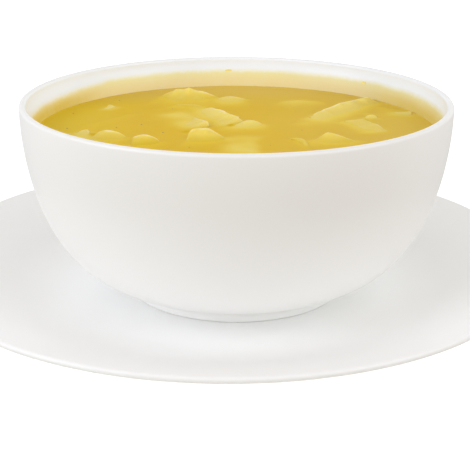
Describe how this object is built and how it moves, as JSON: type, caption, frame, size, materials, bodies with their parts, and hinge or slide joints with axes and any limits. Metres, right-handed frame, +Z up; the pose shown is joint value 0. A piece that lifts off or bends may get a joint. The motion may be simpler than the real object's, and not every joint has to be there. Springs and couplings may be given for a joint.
{
  "type": "bowl of soup",
  "caption": "White porcelain bowl of golden chicken soup with broad egg ribbons, standing on a white porcelain plate.",
  "frame": {"origin": "middle of the plate's foot, on the surface that it stands on", "axes": "+Z up, -Y towards the side that the picture shows, +X to the right as seen from there"},
  "size_m": [0.218, 0.218, 0.0767],
  "materials": {
    "porcelain": "glazed white porcelain",
    "broth": "wet golden broth, slightly cloudy",
    "egg_ribbon": "soft wet egg ribbon"
  },
  "bodies": {
    "root": {"plate": "porcelain", "bowl": "porcelain", "soup": "broth", "ribbon_01": "egg_ribbon", "ribbon_02": "egg_ribbon", "ribbon_03": "egg_ribbon", "ribbon_04": "egg_ribbon", "ribbon_05": "egg_ribbon", "ribbon_06": "egg_ribbon", "ribbon_07": "egg_ribbon", "ribbon_08": "egg_ribbon", "ribbon_09": "egg_ribbon", "ribbon_10": "egg_ribbon", "ribbon_11": "egg_ribbon", "ribbon_12": "egg_ribbon", "ribbon_13": "egg_ribbon", "ribbon_14": "egg_ribbon", "ribbon_15": "egg_ribbon", "ribbon_16": "egg_ribbon", "ribbon_17": "egg_ribbon", "ribbon_18": "egg_ribbon", "ribbon_19": "egg_ribbon", "shred_01": "egg_ribbon", "shred_02": "egg_ribbon", "shred_03": "egg_ribbon"}
  },
  "joints": []
}
